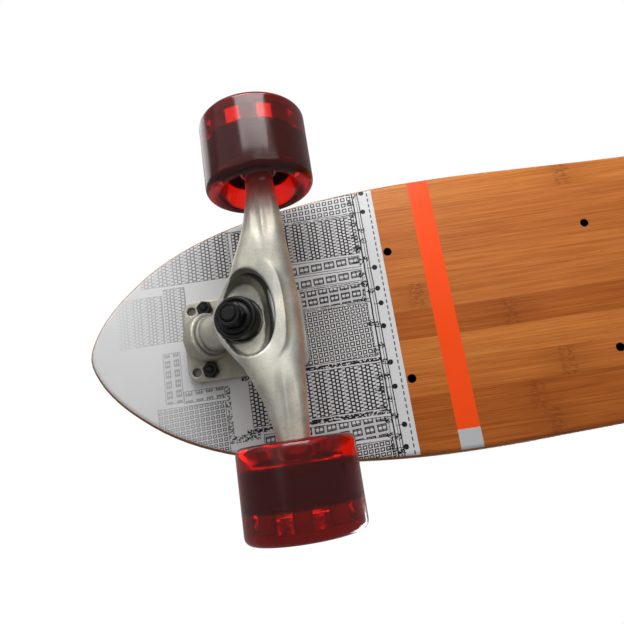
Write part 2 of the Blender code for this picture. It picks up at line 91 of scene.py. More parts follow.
# Truck. The steering axis passes PIVOT and RING: outboard of the axle, and below the deck
PIVOT = (49.0, 14.5)
RING = (22.2, 39.5)
STEER = Vector((PIVOT[0] - RING[0], 0.0, RING[1] - PIVOT[1])).normalized()
KINGPIN_FOOT_X = 14.9
KINGPIN_LEAN = math.radians(10.6)
KINGPIN_R = 4.7
BOLT_R = 2.3
AXLE_R = 3.95
BOLT_ROWS = (-4.0, 50.0)
SPARE_ROW = 59.5
BOLT_HALF = 20.65
ARM_HALF = 85.0
PLATE_MIDDLE, PLATE_HALF, PLATE_HALF_WIDTH = 25.25, 40.25, 27.5
RIM_SLOPE = 0.5
RIM_Z = AXLE_DEPTH - 63.2

# Wheel: its radius, the rounding of its lip, and how far its bearings and axle nut sit from its middle
SPOKES = 8
TYRE_R = 32.5
LIP_R = 4.1
BEARING_OFF = 8.5
AXLE_NUT_OFF = 13.15

# Brightness of the studio's surround: for light that falls on the object, and at the sides of clear pieces
SURROUND = 0.28
CLEAR_SIDE = 0.62
FLOOR_REACH = 6.0


# ---------------------------------------------------------------- materials


def operator(operation, swapped=False):
    """A method that makes a maths node from a value and what it meets."""

    def apply(value, *others):
        return value.nodes.calc(operation, *((*others, value) if swapped else (value, *others)))

    return apply


class Value:
    """A number or colour on its way through a node tree, with Python's own operators."""

    def __init__(self, nodes, socket):
        self.nodes = nodes
        self.socket = socket

    __add__ = __radd__ = operator("ADD")
    __sub__ = operator("SUBTRACT")
    __rsub__ = operator("SUBTRACT", swapped=True)
    __mul__ = __rmul__ = operator("MULTIPLY")
    __abs__ = operator("ABSOLUTE")
    below = operator("LESS_THAN")
    above = operator("GREATER_THAN")
    floor = operator("FLOOR")
    fraction = operator("FRACT")
    most = operator("MAXIMUM")
    root = operator("SQRT")

    def between(self, low, high):
        return self.above(low) * self.below(high)

    def ramp(self, low, high):
        """0 at low and 1 at high, smooth between them."""
        return self.nodes.mapped(self, low, high, interpolation_type="SMOOTHSTEP")


class Nodes:
    """A node tree whose nodes are written as expressions."""

    def __init__(self, tree):
        self.tree = tree

    def put(self, socket, value):
        """Links a value or another node's socket, or sets a constant."""
        source = value.socket if isinstance(value, Value) else value
        if isinstance(source, bpy.types.NodeSocket):
            self.tree.links.new(source, socket)
        elif socket.type == "RGBA":
            socket.default_value = (*source, 1.0)
        else:
            socket.default_value = source

    def node(self, kind, inputs=(), **settings):
        """A new node. Its inputs go by name or number."""
        node = self.tree.nodes.new("ShaderNode" + kind)
        for name, value in settings.items():
            setattr(node, name, value)
        for name, value in dict(inputs).items():
            self.put(node.inputs[name], value)
        return node

    def calc(self, operation, *values):
        return Value(self, self.node("Math", enumerate(values), operation=operation).outputs[0])

    def mapped(self, value, *levels, **settings):
        """A value taken from one range to another one, which is 0 to 1 unless it is given."""
        names = ("Value", "From Min", "From Max", "To Min", "To Max")
        node = self.node("MapRange", zip(names, (value, *levels)), **settings)
        return Value(self, node.outputs["Result"])

    def blend(self, share, first, second):
        """A shader between two others."""
        return self.node("MixShader", enumerate((share, first, second))).outputs[0]


class Pattern(Nodes):
    """A Principled material."""

    def __init__(self, name, **constants):
        self.material = bpy.data.materials.new(name)
        self.material.use_nodes = True
        super().__init__(self.material.node_tree)
        self.shader = self.tree.nodes["Principled BSDF"]
        self.output = self.tree.nodes["Material Output"]
        for socket, value in constants.items():
            self.put(self.shader.inputs[socket.replace("_", " ")], value)
        self.object_place = None

    def coordinates(self, kind):
        split = self.node("SeparateXYZ", {0: self.node("TexCoord").outputs[kind]})
        return [Value(self, socket) for socket in split.outputs]

    def place(self):
        """The piece's own x, y and z in millimetres."""
        if self.object_place is None:
            self.object_place = [value * (1 / MM) for value in self.coordinates("Object")]
        return self.object_place

    def noise(self, grain, detail=2.0, stretch=(1, 1, 1), shift=0.0):
        """Noise from 0 to 1 whose lumps are about grain millimetres across."""
        x, y, z = (v * (1 / (grain * s)) for v, s in zip(self.place(), stretch))
        where = self.node("CombineXYZ", enumerate((x + shift, y, z))).outputs[0]
        node = self.node("TexNoise", {"Vector": where, "Scale": 1.0, "Detail": detail})
        return Value(self, node.outputs["Fac"])

    def chance(self, value, shift=0.0):
        """One random number from 0 to 1 for each value."""
        node = self.node("TexWhiteNoise", noise_dimensions="1D")
        self.put(node.inputs["W"], value + shift)
        return Value(self, node.outputs["Value"])

    def pointiness(self):
        return Value(self, self.node("NewGeometry").outputs["Pointiness"])

    def mix(self, first, second, share):
        """A colour between two others."""
        node = self.node("Mix", data_type="RGBA")
        sockets = {s.identifier: s for s in (*node.inputs, *node.outputs)}
        for name, value in (("Factor_Float", share), ("A_Color", first), ("B_Color", second)):
            self.put(sockets[name], value)
        return Value(self, sockets["Result_Color"])

    def finished(self, colour, roughness, height, depth_mm, strength):
        """The material, with its colour, its roughness and a bump of depth_mm from height."""
        bump = self.node("Bump", {"Strength": strength, "Distance": depth_mm * MM, "Height": height})
        for name, value in (("Base Color", colour), ("Roughness", roughness), ("Normal", bump.outputs[0])):
            self.put(self.shader.inputs[name], value)
        return self.material


# Bamboo strips from the right rail to the left one: how light each is, and where its first knuckle lies
STRIP = 19.0
STRIPS = (
    (0.12, 37), (0.05, 30), (0.55, 55), (0.86, 165), (0.06, 25),
    (0.60, 225), (0.68, 172), (0.50, 150), (0.60, 180), (0.95, 85),
)
KNUCKLE_SPACING = 260.0


def bamboo_colour(p, from_nose, across):
    """Wide strips along the deck, each of its own tone, with long fibres, knuckles and thin glue lines."""
    strips = across * (1 / STRIP)
    strip = strips.floor()
    tone, first = 0.0, 0.0
    for number, (light_share, knuckle_at) in enumerate(STRIPS, -len(STRIPS) // 2):
        here = strip.between(number - 0.5, number + 0.5)
        tone, first = here * light_share + tone, here * knuckle_at + first
    fibres = p.noise(1.0, 4.0, (48, 0.8, 4)).ramp(0.28, 0.72)
    streaks = p.noise(1.0, 3.0, (120, 2.6, 6), 4.0).ramp(0.3, 0.7)
    dashes = p.noise(1.0, 1.0, (16, 0.5, 4), 9.0).ramp(0.60, 0.72)
    off = (((from_nose - first) * (1 / KNUCKLE_SPACING) + 0.5).fraction() - 0.5) * KNUCKLE_SPACING
    tangle = p.noise(1.0, 3.0, (3.2, 1.3, 3), 2.0).ramp(0.42, 0.62)
    knuckle = (1.0 - abs(off).ramp(3.0, 8.0)) * tangle
    shadow = 1.0 - abs(off).ramp(4.0, 30.0)
    light = p.mix((0.50, 0.150, 0.024), (0.66, 0.225, 0.050), fibres)
    dark = p.mix((0.30, 0.066, 0.008), (0.43, 0.108, 0.016), fibres)
    colour = p.mix(dark, light, tone * 0.86 + streaks * 0.26 - 0.06)
    colour = p.mix(colour, (0.17, 0.042, 0.006), dashes * 0.30)
    colour = p.mix(colour, (0.20, 0.045, 0.006), knuckle * 0.42 + shadow * 0.22)
    glue = 1.0 - abs(strips.fraction() - 0.5).ramp(0.484, 0.499) * 0.3
    return p.mix((0.16, 0.04, 0.008), colour, glue), fibres


def cell(value, start, pitch):
    """Distance from the middle of the cell that a value falls in."""
    return abs(((value - start) * (1 / pitch)).fraction() - 0.5) * pitch


def windows(p, s, y, area, pitch, window, style):
    """Ink of one block of drawn windows inside a thin frame. The style is grid, open or sash."""
    s_from, s_to, y_from, y_to = area
    inside = s.between(s_from, s_to) * y.between(y_from, y_to)
    frame_line = inside - s.between(s_from + 0.4, s_to - 0.4) * y.between(y_from + 0.4, y_to - 0.4)
    slant = y - s * 0.05
    if style == "grid":
        column = ((s - s_from) * (1 / pitch[0])).floor()
        slant = slant + (column * 0.5).fraction() * pitch[1]
    off_s, off_y = cell(s, s_from, pitch[0]), cell(slant, y_from, pitch[1])

    def box(part, less=0.0):
        return off_s.below(window[0] * part / 2 - less) * off_y.below(window[1] * part / 2 - less)

    if style == "grid":
        gap = cell(s, s_from, pitch[0] * 4).above(pitch[0] * 2 - 0.25)
        ink = (1.0 - box(1.0)) * (1.0 - gap)
    elif style == "open":
        ink = box(1.0) - box(1.0, 0.72)
    else:
        bars = off_s.below(0.3).most(abs(off_y - window[1] / 4).below(0.28))
        ink = (box(1.0) - box(1.0, 0.75)).most(box(1.0) * bars)
        hatch = ((s + y) * 0.9).fraction().below(0.3) * 0.5
        if pitch[0] < 8.5:
            ink = ink.most((1.0 - box(1.0)) * hatch)
    return (inside * ink).most(frame_line)


# Blocks of windows on the printed panel: from the nose and across, pitch, window size, style
BLOCKS = (
    ((118, 192, 76.8, 93.5), (4.4, 4.1), (3.2, 3.0), "open"),
    ((104, 192, 46.5, 75.0), (2.6, 2.4), (1.75, 1.55), "grid"),
    ((112, 191, 36.8, 45.2), (8.8, 8.4), (7.2, 5.0), "sash"),
    ((112, 191, 26.8, 35.5), (8.8, 8.7), (7.2, 5.0), "sash"),
    ((120, 191, 12.0, 24.8), (7.6, 6.4), (6.2, 4.6), "sash"),
    ((130, 191, -26.5, 10.6), (3.7, 3.6), (3.0, 3.0), "open"),
    ((104, 192, -61.0, -30.8), (2.6, 2.5), (1.75, 1.6), "grid"),
    ((110, 191, -79.0, -66.0), (8.0, 6.5), (6.2, 4.8), "sash"),
    ((112, 192, -94.0, -81.0), (3.7, 3.3), (3.0, 2.7), "open"),
    ((38, 102, 43.0, 90.0), (2.6, 2.5), (1.8, 1.6), "grid"),
    ((20, 52, 3.0, 37.0), (2.4, 2.3), (1.65, 1.5), "grid"),
    ((53, 68, 3.0, 41.0), (2.4, 2.3), (1.65, 1.5), "grid"),
    ((49, 61, -38.0, -4.0), (6.0, 6.8), (3.6, 4.8), "sash"),
    ((61, 88, -39.0, -31.0), (6.8, 8.0), (4.6, 5.0), "sash"),
    ((43, 88, -86.0, -40.5), (3.4, 3.0), (2.7, 2.3), "open"),
)


def street_ink(p, s, y):
    """The street's edge: kerb lines, broken ground lines, round shrubs on short posts and a clipped hedge."""
    ink = 0.0
    for at, half in ((197.2, 0.35), (193.4, 0.5), (195.6, 0.2)):
        ink = abs(s - at).below(half).most(ink)
    along_street = s.between(100, 193)
    for at, width in ((-28.6, 2.6), (-63.2, 3.0), (11.3, 0.5), (25.8, 0.6), (75.8, 0.7)):
        broken = p.noise(1.3, 2.0, shift=at).above(0.44)
        ink = ink.most(abs(y - at).below(width / 2) * along_street * broken)
    for pitch, place, size, seed in ((13.7, 199.8, 1.8, 2.2), (9.1, 190.6, 2.5, 6.1), (11.9, 195.2, 2.2, 9.3)):
        row = (y * (1 / pitch)).floor()
        off = ((y * (1 / pitch)).fraction() - 0.5 + (p.chance(row, seed) - 0.5) * 0.4) * pitch
        away = s - (place + (p.chance(row, seed + 1) - 0.5) * 1.8)
        reach = (away * away + off * off).root()
        leaves = p.noise(0.9, 2.0, shift=seed).above(0.50) if size > 2 else 1.0
        shrub = reach.below(size) * leaves
        post = abs(off).below(0.22) * away.between(-5.0, 0.0)
        ink = ink.most(shrub.most(post) * p.chance(row, seed + 2).above(0.25))
    hedge = abs(s - 89.8).below(1.7) * y.between(-67.0, -31.0)
    hedge = hedge.most(abs(y + 66.6).below(2.2) * s.between(88.2, 108))
    return ink.most(hedge * p.noise(1.0, 2.0, shift=1.0).above(0.5))


def panel_colour(p, s, y):
    """Black line work on pale grey: a street front seen as plain grids of windows, fading to the nose."""
    s_drawn = s + (p.noise(12.0, 1.0, shift=5.0) - 0.5) * 0.9
    y_drawn = y + (p.noise(14.0, 1.0, shift=7.0) - 0.5) * 0.9
    ink = street_ink(p, s_drawn, y_drawn)
    for block in BLOCKS:
        ink = ink.most(windows(p, s_drawn, y_drawn, *block))
    fade = s.ramp(6.0, 60.0) * 0.42 + s.ramp(50.0, 108.0) * 0.58
    worn = p.noise(0.8, 2.0, shift=3.0).ramp(0.2, 0.5) * 0.15 + 0.85
    dashes = abs(s - DASH_LINE).below(0.42) * (y * (1 / 4.2)).fraction().below(0.62)
    ink = (ink * fade * worn).most(dashes * 0.9)
    dusty = p.noise(40.0, 3.0, shift=6.0)
    paper = p.mix((0.62, 0.625, 0.63), (0.71, 0.715, 0.72), dusty)
    return p.mix(paper, (0.008, 0.008, 0.009), ink)


def deck_material():
    """Varnished bamboo with the print on its underside, plies at the rails, and painted shade in the small holes:
    their walls painted black.
    """
    p = Pattern("varnished_bamboo", Coat_Weight=0.05, Coat_Roughness=0.15, IOR=1.4, Specular_IOR_Level=0.22)
    x, y, z = p.place()
    s = HALF_LENGTH - x
    wood, fibres = bamboo_colour(p, s, y)
    height = z - BOTTOM
    plies = p.mix((0.22, 0.09, 0.032), (0.40, 0.18, 0.065), p.noise(1.0, 2.0, (30, 30, 0.5)))
    between_plies = 1.0 - abs((height * (1 / PLY)).fraction() - 0.5).ramp(0.40, 0.46)
    plies = p.mix(plies, (0.10, 0.04, 0.015), between_plies * -0.7 + 0.7)
    under = height.below(1.0)
    stripe = s.between(*STRIPE)
    orange = p.mix((0.92, 0.066, 0.004), (1.0, 0.088, 0.008), p.noise(30.0, 2.0))
    colour = p.mix(wood, plies, height.ramp(1.2, 1.8))
    for print_colour, share in (
        (panel_colour(p, s, y), under * s.below(PANEL_END)),
        (orange, under * stripe * y.above(STRIPE_FROM)),
        ((0.50, 0.51, 0.52), under * stripe * y.between(BLOCK_FROM, STRIPE_FROM)),
    ):
        colour = p.mix(colour, print_colour, share)
    # Painted shade: the small through holes' walls and rims are painted black.
    across = abs(y) - HOLES_HALF
    for from_nose in HOLES_FROM_NOSE:
        away = s - from_nose
        hole = (away * away + across * across).root().below(HOLE_R + 0.35)
        colour = p.mix(colour, (0.004, 0.004, 0.004), hole)
    rough = p.noise(1.0, 4.0, (40, 2, 2), 11.0) * 0.16 + fibres * 0.08 + 0.26
    return p.finished(colour, rough, fibres * 0.5 + p.noise(0.6, 2.0) * 0.3, 0.06, 0.35)


def grip_material():
    """Black grit on tape, greyer in worn patches."""
    p = Pattern("grip_tape", IOR=1.45)
    grit = p.noise(0.5, 2.0)
    wear = p.noise(70.0, 4.0, (1, 0.7, 1), 2.0).ramp(0.42, 0.7)
    colour = p.mix((0.010, 0.010, 0.011), (0.05, 0.05, 0.052), grit.ramp(0.45, 0.72))
    colour = p.mix(colour, (0.055, 0.053, 0.05), wear * 0.35)
    return p.finished(colour, 0.92 - grit.ramp(0.6, 0.75) * 0.35, grit, 0.45, 0.9)


def well_shade(p):
    """Painted shade: 1 on the road side of the bushing well's wall, from just inside its lip, fading out towards the
    well's floor and on the -y side.
    """
    x, y, z = p.place()
    below_lip = (z - x * RIM_SLOPE - RIM_Z).ramp(0.1, 0.8)
    steep = 1.0 - abs(p.coordinates("Normal")[2]).ramp(0.62, 0.86)
    away = x - 18.0
    near = (away * away + y * y).root().below(28.5) * x.between(-1.5, 36.9)
    return below_lip * steep * near * (1.0 - z.ramp(3.0, 6.5)) * y.ramp(-21.0, -15.0)


def cast_material(name, dark, light, grain, shaded=False):
    """Satin cast aluminium: soft cloudy tone, fine grain, brighter worn edges, painted shade in hollows, and painted
    shade on the bushing well's wall when shaded.
    """
    p = Pattern(name, Metallic=1.0)
    clouds = p.noise(14.0, 3.0)
    sand = p.noise(0.9, 3.0, shift=4.0)
    edge = p.pointiness().ramp(0.51, 0.56)
    # Painted shade: darker where the surface curves inwards, in creases and hollows.
    hollow_shade = 1.0 - p.pointiness().ramp(0.42, 0.49)
    colour = p.mix(dark, light, clouds.ramp(0.25, 0.75))
    colour = p.mix(colour, tuple(c * 0.72 for c in dark), sand.ramp(0.50, 0.72) * 0.4)
    colour = p.mix(colour, (0.82, 0.82, 0.82), edge * 0.6)
    colour = p.mix(colour, (0.12, 0.11, 0.10), hollow_shade * 0.45)
    if shaded:
        # Painted shade on the well's wall, near its lip.
        colour = p.mix(colour, (0.035, 0.034, 0.031), well_shade(p) * 0.9)
    rough = clouds * 0.1 + sand * 0.12 + (0.27 + grain * 0.12)
    return p.finished(colour, rough, sand * 0.7 + p.noise(2.6, 2.0, shift=8.0) * 0.6, 0.12 * grain, 0.6)


def steel_material(name, colour, spread, rough, metallic=1.0, specular=0.5):
    """Plated or blackened steel with fine turning marks and small scratches."""
    p = Pattern(name, Metallic=metallic, Specular_IOR_Level=specular)
    marks = p.noise(1.0, 3.0, (6, 6, 0.25))
    scratch = p.noise(1.2, 4.0, shift=3.0).ramp(0.55, 0.7)
    worn = p.pointiness().ramp(0.52, 0.6)
    light, bare = (tuple(c + spread * share for c in colour) for share in (1, 3))
    colour = p.mix(p.mix(colour, light, marks), bare, (scratch + worn) * 0.3)
    return p.finished(colour, marks * 0.12 + scratch * 0.08 + rough, marks + scratch * 0.5, 0.03, 0.5)


def moulded_material(name, dark, light, rough=0.4, spokes=None, **constants):
    """Moulded plastic or rubber with a light mottle. Given spokes colours, the core's outer parts, its spokes and
    rim, are painted dark red: painted red light, standing in for the light that reaches them through the urethane.
    """
    p = Pattern(name, IOR=1.5, **constants)
    mottle = p.noise(1.4, 3.0)
    colour = p.mix(dark, light, mottle)
    if spokes:
        # Painted light: the spokes and rim red, as if lit through the red urethane.
        colour = p.mix(colour, p.mix(*spokes, mottle), p.place()[2].ramp(8.6, 10.4))
    return p.finished(colour, mottle * 0.15 + rough, p.noise(0.7, 3.0, shift=5.0), 0.08, 0.45)


def urethane_material():
    """Clear red urethane, slightly cloudy, with a fine rubbed band where it rolls."""
    p = Pattern("red_urethane", IOR=1.45, Transmission_Weight=0.96)
    x, y, z = p.place()
    cloud = p.noise(7.0, 3.0)
    rolled = (x * x + y * y).root().ramp(31.9, 32.4) * (1.0 - abs(z).ramp(12.0, 19.0))
    scratches = p.noise(0.8, 3.0, (1, 1, 4), 2.0)
    p.finished(
        p.mix((0.78, 0.030, 0.014), (0.92, 0.046, 0.022), cloud),
        rolled * scratches * 0.12 + cloud * 0.05 + 0.10,
        scratches * rolled + p.noise(4.0, 1.0) * 0.25,
        0.05,
        0.3,
    )
    clear = p.node("BsdfTransparent", {0: (0.55, 0.03, 0.02)}).outputs[0]
    shadow = p.node("LightPath").outputs["Is Shadow Ray"]
    p.put(p.output.inputs["Surface"], p.blend(shadow, p.shader.outputs[0], clear))
    depth = p.node("VolumeAbsorption", {"Color": (0.96, 0.10, 0.05), "Density": 110.0})
    p.put(p.output.inputs["Volume"], depth.outputs[0])
    return p.material


def make_materials():
    # Painted red light for the core's spokes and rim.
    red = ((0.20, 0.014, 0.012), (0.28, 0.022, 0.018))
    core = ("core_plastic", (0.004, 0.004, 0.005), (0.010, 0.010, 0.011))
    return {
        "bamboo": deck_material(),
        "grip": grip_material(),
        "hanger": cast_material("cast_hanger", (0.48, 0.475, 0.43), (0.72, 0.695, 0.58), 1.0, True),
        "baseplate": cast_material("cast_baseplate", (0.38, 0.37, 0.32), (0.58, 0.555, 0.46), 2.2),
        "pivot_cup": moulded_material("pivot_cup", (0.27, 0.265, 0.24), (0.38, 0.375, 0.34), 0.35),
        "axle": steel_material("zinc_steel", (0.55, 0.56, 0.57), 0.08, 0.22),
        "bushing": moulded_material("black_bushing", (0.006, 0.006, 0.006), (0.014, 0.014, 0.014)),
        "tyre": urethane_material(),
        "core": moulded_material(*core, spokes=red, Specular_IOR_Level=0.06),
        "bearing": steel_material("bearing_steel", (0.50, 0.50, 0.51), 0.08, 0.16),
        "shield": moulded_material("bearing_shield", (0.010, 0.010, 0.011), (0.03, 0.03, 0.032)),
        "black_steel": steel_material("black_steel", (0.004, 0.004, 0.004), 0.004, 0.26, 0.0, 0.32),
    }


# ---------------------------------------------------------------- shapes


def curve(at, values, where):
    """A smooth curve through (at, values), read at each place of where."""
    at, values, where = (np.asarray(v, float) for v in (at, values, where))
    slopes = np.gradient(values, at)
    i = np.clip(np.searchsorted(at, where) - 1, 0, len(at) - 2)
    width = at[i + 1] - at[i]
    t = np.clip((where - at[i]) / width, 0, 1)
    low = (1 + 2 * t) * (1 - t) ** 2 * values[i] + t * (1 - t) ** 2 * width * slopes[i]
    return low + t * t * (3 - 2 * t) * values[i + 1] + t * t * (t - 1) * width * slopes[i + 1]


def softened(points, radius, steps=4, closed=False):
    """The same profile with its corners rounded."""
    made = []
    for i, point in enumerate(points):
        if not closed and i in (0, len(points) - 1):
            made.append(Vector(point))
            continue
        corner = Vector(point)
        before, after = Vector(points[i - 1]), Vector(points[(i + 1) % len(points)])
        back, on = before - corner, after - corner
        reach = min(radius, 0.45 * back.length, 0.45 * on.length)
        start, end = corner + back.normalized() * reach, corner + on.normalized() * reach
        for k in range(steps + 1):
            t = k / steps
            made.append(start * (1 - t) ** 2 + corner * 2 * t * (1 - t) + end * t * t)
    return [tuple(v) for v in made]


def smoothed(mesh):
    mesh.shade_smooth()
    mesh.set_sharp_from_angle(angle=math.radians(SHARP))
    return mesh


def finish_mesh(name, mesh_source):
    """A mesh in metres from a bmesh in millimetres."""
    bmesh.ops.recalc_face_normals(mesh_source, faces=mesh_source.faces)
    mesh = bpy.data.meshes.new(name)
    mesh_source.to_mesh(mesh)
    mesh_source.free()
    mesh.transform(Matrix.Scale(MM, 4))
    return smoothed(mesh)


def bridge(mesh, first, second):
    """Faces between two rings; a ring of one vertex makes a fan."""
    for i in range(max(len(first), len(second))):
        a, b = ((ring[i % len(ring)], ring[(i + 1) % len(ring)]) for ring in (first, second))
        corners = list(dict.fromkeys((*a, *reversed(b))))
        if len(corners) > 2:
            mesh.faces.new(corners)


def skinned(mesh, rings, closed=False, capped=False):
    """The mesh with faces from ring to ring, and at the first and last one if it is capped."""
    for first, second in zip(rings, rings[1:] + rings[:1] * closed):
        bridge(mesh, first, second)
    if capped:
        mesh.faces.new(rings[0])
        mesh.faces.new(rings[-1])
    return mesh


def ring_of(mesh, segments, height, radius_at):
    """Vertices round +Z at one height, each as far out as radius_at says for its angle."""
    made = []
    for i in range(segments):
        angle = 2 * math.pi * i / segments
        r = radius_at(angle)
        made.append(mesh.verts.new((r * math.cos(angle), r * math.sin(angle), height)))
    return made


def turned(profile, segments=72, closed=False, reach=None):
    """A solid of revolution about +Z. reach(angle, radius, height) may change a radius."""
    mesh = bmesh.new()
    reach = reach or (lambda angle, radius, height: radius)
    rings = []
    for radius, height in profile:
        if radius < 1e-6:
            rings.append([mesh.verts.new((0.0, 0.0, height))])
        else:
            rings.append(ring_of(mesh, segments, height, lambda angle: reach(angle, radius, height)))
    return skinned(mesh, rings, closed)


def soft_ring(profile, radius, steps=3, segments=72):
    """A closed profile with rounded corners, turned."""
    return turned(softened(profile, radius, steps, True), segments, True)


def collar(inner, outer, low, high, *softness):
    """A ring of rectangular section."""
    return soft_ring([(inner, low), (outer, low), (outer, high), (inner, high)], *softness)


def hex_reach(across_flats, low, high):
    """Turns a round profile into a hexagon with chamfered ends, between two heights."""
    half = across_flats / 2

    def reach(angle, radius, height):
        if not low - 1e-6 <= height <= high + 1e-6 or radius < half * 0.98:
            return radius
        turn = (angle % (math.pi / 3)) - math.pi / 6
        from_end = min(height - low, high - height)
        return min(half / math.cos(turn), half * 1.015 + from_end * 1.9)

    return reach


def nut(across_flats, bore, height, collar_r, collar_height):
    """A lock nut: a chamfered hexagon with a round collar that holds its nylon ring."""
    half = across_flats / 2
    levels = [0.0, 0.12, 0.25, 0.4, 0.6, 0.9]
    sides = [(half * 1.16, z) for z in levels] + [(half * 1.16, height - z) for z in reversed(levels)]
    top = height + collar_height
    crown = [(collar_r, height + 0.05), (collar_r, top - 0.9), (collar_r - 0.35, top - 0.25)]
    crown += [(collar_r - 1.0, top), (bore + 1.5, top), (bore + 1.3, top - 0.4), (bore + 0.1, top - 0.5)]
    profile = [(bore, 0.4), (bore + 0.4, 0.0)] + sides + crown
    return turned(profile, 96, closed=True, reach=hex_reach(across_flats, 0.0, height))


def threaded(radius, low, high, pitch, per_turn=8, segments=40):
    """A rod end with a real thread and a chamfered tip at high."""
    mesh = bmesh.new()
    count = int((high - low) / pitch * per_turn)
    depth = 0.54 * pitch

    def ring(z):
        def reach(angle):
            wave = abs(((z / pitch - angle / (2 * math.pi)) % 1.0) - 0.5) * 2
            tip, root = radius - 1.1 + (high - z) * 1.1, radius - depth + max(0.0, z - low) * 2
            return min(radius - depth * wave, tip, root)

        return ring_of(mesh, segments, z, reach)

    return skinned(mesh, [ring(low + (high - low) * k / count) for k in range(count + 1)], capped=True)


def joined(*meshes):
    """Several bmeshes as one."""
    whole = meshes[0]
    for other in meshes[1:]:
        scratch = bpy.data.meshes.new("scratch")
        other.to_mesh(scratch)
        whole.from_mesh(scratch)
        other.free()
        bpy.data.meshes.remove(scratch)
    return whole


OVER = Matrix.Rotation(math.pi, 4, "X")


def moved(mesh, matrix):
    mesh.transform(matrix)
    return mesh


def union(a, b, blend):
    """Smooth union of two distance fields."""
    share = np.clip(0.5 + 0.5 * (b - a) / blend, 0, 1)
    return b + (a - b) * share - blend * share * (1 - share)


def cut(a, b, blend):
    """The first field without the second, with a soft edge."""
    return -union(-a, b, blend)


def rounded(points, steps=6):
    """A closed smooth curve through a ring of points."""
    made = []
    for i in range(len(points)):
        a, b, c, d = (Vector(points[(i + k) % len(points)]) for k in (-1, 0, 1, 2))
        for k in range(steps):
            t = k / steps
            bend = (2 * a - 5 * b + 4 * c - d) * t * t + (3 * b - a - 3 * c + d) * t**3
            made.append(b + 0.5 * ((c - a) * t + bend))
    return made


class Outline:
    """Distance to a closed outline in the plane, negative inside it, looked up on a fine grid."""

    STEP = 0.5

    def __init__(self, points, low=(-25.0, -45.0), high=(75.0, 45.0)):
        self.low = low
        axes = [np.arange(a, b, self.STEP) for a, b in zip(low, high)]
        x, y = np.meshgrid(*axes, indexing="ij")
        nearest, inside = np.full(x.shape, 1e9), np.zeros(x.shape, bool)
        for (x0, y0), (x1, y1) in zip(points, points[1:] + points[:1]):
            ex, ey = x1 - x0, y1 - y0
            t = np.clip(((x - x0) * ex + (y - y0) * ey) / (ex * ex + ey * ey), 0, 1)
            nearest = np.minimum(nearest, np.hypot(x - x0 - t * ex, y - y0 - t * ey))
            crosses = (y0 > y) != (y1 > y)
            inside ^= crosses & (x < x0 + (y - y0) * ex / (ey or 1e-9))
        self.grid = np.where(inside, -nearest, nearest)

    def at(self, x, y):
        u = np.clip((x - self.low[0]) / self.STEP, 0, self.grid.shape[0] - 1.001)
        v = np.clip((y - self.low[1]) / self.STEP, 0, self.grid.shape[1] - 1.001)
        i, j = u.astype(int), v.astype(int)
        u, v = u - i, v - j
        near = self.grid[i, j] * (1 - u) + self.grid[i + 1, j] * u
        far = self.grid[i, j + 1] * (1 - u) + self.grid[i + 1, j + 1] * u
        return near * (1 - v) + far * v


def about_axis(x, y, z, origin, direction):
    """Distance from an axis and distance along it."""
    px, py, pz = x - origin[0], y - origin[1], z - origin[2]
    t = px * direction[0] + py * direction[1] + pz * direction[2]
    return np.sqrt(np.maximum(px * px + py * py + pz * pz - t * t, 0)), t


def disc(radial, t, radius, low, high):
    """A capped cylinder."""
    return np.maximum(radial - radius, np.maximum(low - t, t - high))


def net(field, low, high, step):
    """A quad mesh on a field's zero surface: one point in each grid cell that the surface crosses."""
    axes = [np.arange(a, b + step, step) for a, b in zip(low, high)]
    grids = np.meshgrid(*axes, indexing="ij")
    value = field(*grids)
    inside = value < 0
    shape = tuple(n - 1 for n in value.shape)
    total, hits = np.zeros((*shape, 3)), np.zeros(shape)
    quads = []
    for axis in range(3):
        others = [i for i in range(3) if i != axis]
        ends = slice(0, -1), slice(1, None)
        first, second = (tuple(end if i == axis else slice(None) for i in range(3)) for end in ends)
        crossing = inside[first] != inside[second]
        where = np.argwhere(crossing)
        a, b = value[first][crossing], value[second][crossing]
        points = where.astype(float)
        points[:, axis] += a / (a - b)
        keep = np.all([(where[:, o] > 0) & (where[:, o] < shape[o]) for o in others], axis=0)
        where, points, outward = where[keep], points[keep], a[keep] < 0
        corners = []
        for back in ((1, 1), (0, 1), (0, 0), (1, 0)):
            cell = where.copy()
            cell[:, others[0]] -= back[0]
            cell[:, others[1]] -= back[1]
            corners.append(cell)
            np.add.at(total, tuple(cell.T), points)
            np.add.at(hits, tuple(cell.T), 1)
        flat = [np.ravel_multi_index(c.T, shape) for c in corners]
        quad = np.stack(flat, 1)
        flip = outward if axis != 1 else ~outward
        quad[~flip] = quad[~flip][:, ::-1]
        quads.append(quad)
    hits = hits.ravel()
    used = np.flatnonzero(hits)
    number = np.full(hits.size, -1)
    number[used] = np.arange(len(used))
    points = settle(field, total.reshape(-1, 3)[used] / hits[used][:, None] * step + np.array(low), step)
    mesh = bpy.data.meshes.new("net")
    mesh.from_pydata(points.tolist(), [], number[np.concatenate(quads)].tolist())
    made = bmesh.new()
    made.from_mesh(mesh)
    bpy.data.meshes.remove(mesh)
    return made


def settle(field, points, step):
    """Moves points on to the field's surface, never further than half a step."""
    tiny = 0.05
    for _ in range(3):
        here = field(*points.T)
        slope = np.stack([(field(*(points + tiny * way).T) - here) / tiny for way in np.eye(3)], axis=1)
        size = np.maximum((slope**2).sum(1), 0.05)
        shift = -(here / size)[:, None] * slope
        points = points + np.clip(shift, -step / 2, step / 2)
    return points


def kingpin_axis():
    return (KINGPIN_FOOT_X, 0.0, AXLE_DEPTH), (math.sin(KINGPIN_LEAN), 0.0, -math.cos(KINGPIN_LEAN))


def steering_axis():
    return (PIVOT[0], 0.0, AXLE_DEPTH - PIVOT[1]), tuple(-STEER)


